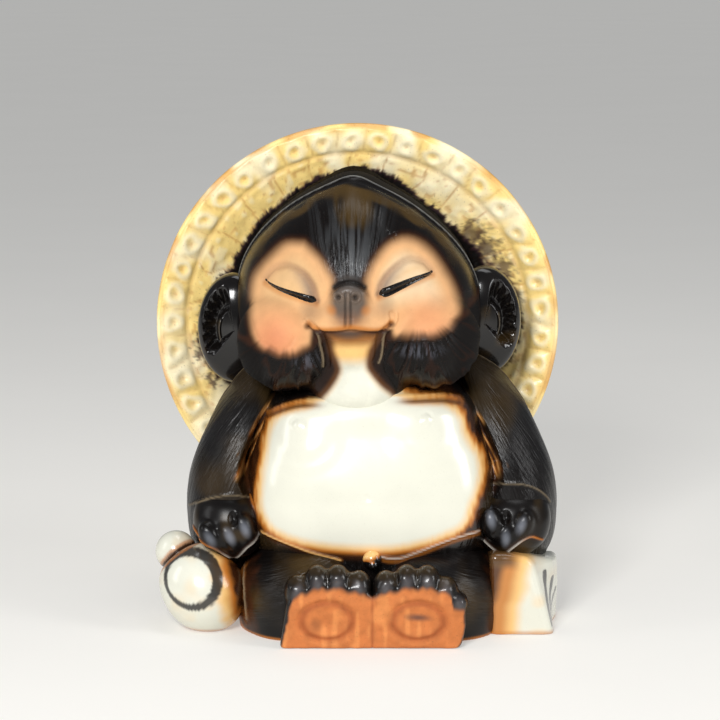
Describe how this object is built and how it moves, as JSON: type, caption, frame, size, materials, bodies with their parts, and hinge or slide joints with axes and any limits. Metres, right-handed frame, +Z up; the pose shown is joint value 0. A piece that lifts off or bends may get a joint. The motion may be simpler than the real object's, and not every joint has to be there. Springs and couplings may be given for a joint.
{
  "type": "seated tanuki statue",
  "caption": "Hollow glazed ceramic tanuki sitting with its soles to the front, a round straw-look hat behind its head, a flask and a ledger at its sides.",
  "frame": {"origin": "on the ground, on the base slab's underside, below the middle of the hat", "axes": "+Z up, the figure looks along -Y, +X to the right of a viewer in front of it"},
  "size_m": [0.23, 0.176, 0.27],
  "materials": {
    "black_glaze": "glossy black-brown glaze",
    "cream_glaze": "glossy cream glaze",
    "face_slip": "satin tan slip, airbrushed to black at the fur",
    "straw_glaze": "speckled straw-yellow glaze",
    "bare_clay": "unglazed orange clay"
  },
  "bodies": {
    "root": {"hat": "straw_glaze", "face_shell": "face_slip", "head_back": "black_glaze", "ear_left": "black_glaze", "ear_right": "black_glaze", "body_front": "cream_glaze", "body_back": "black_glaze", "base_slab": "bare_clay", "arm_left": "black_glaze", "arm_right": "black_glaze", "hand_left": "black_glaze", "hand_right": "black_glaze", "leg_left": "black_glaze", "leg_right": "black_glaze", "foot_left": "bare_clay", "foot_right": "bare_clay", "belly_nub": "black_glaze", "flask_body": "cream_glaze", "flask_neck": "cream_glaze", "ledger": "cream_glaze", "tail": "black_glaze"}
  },
  "joints": []
}
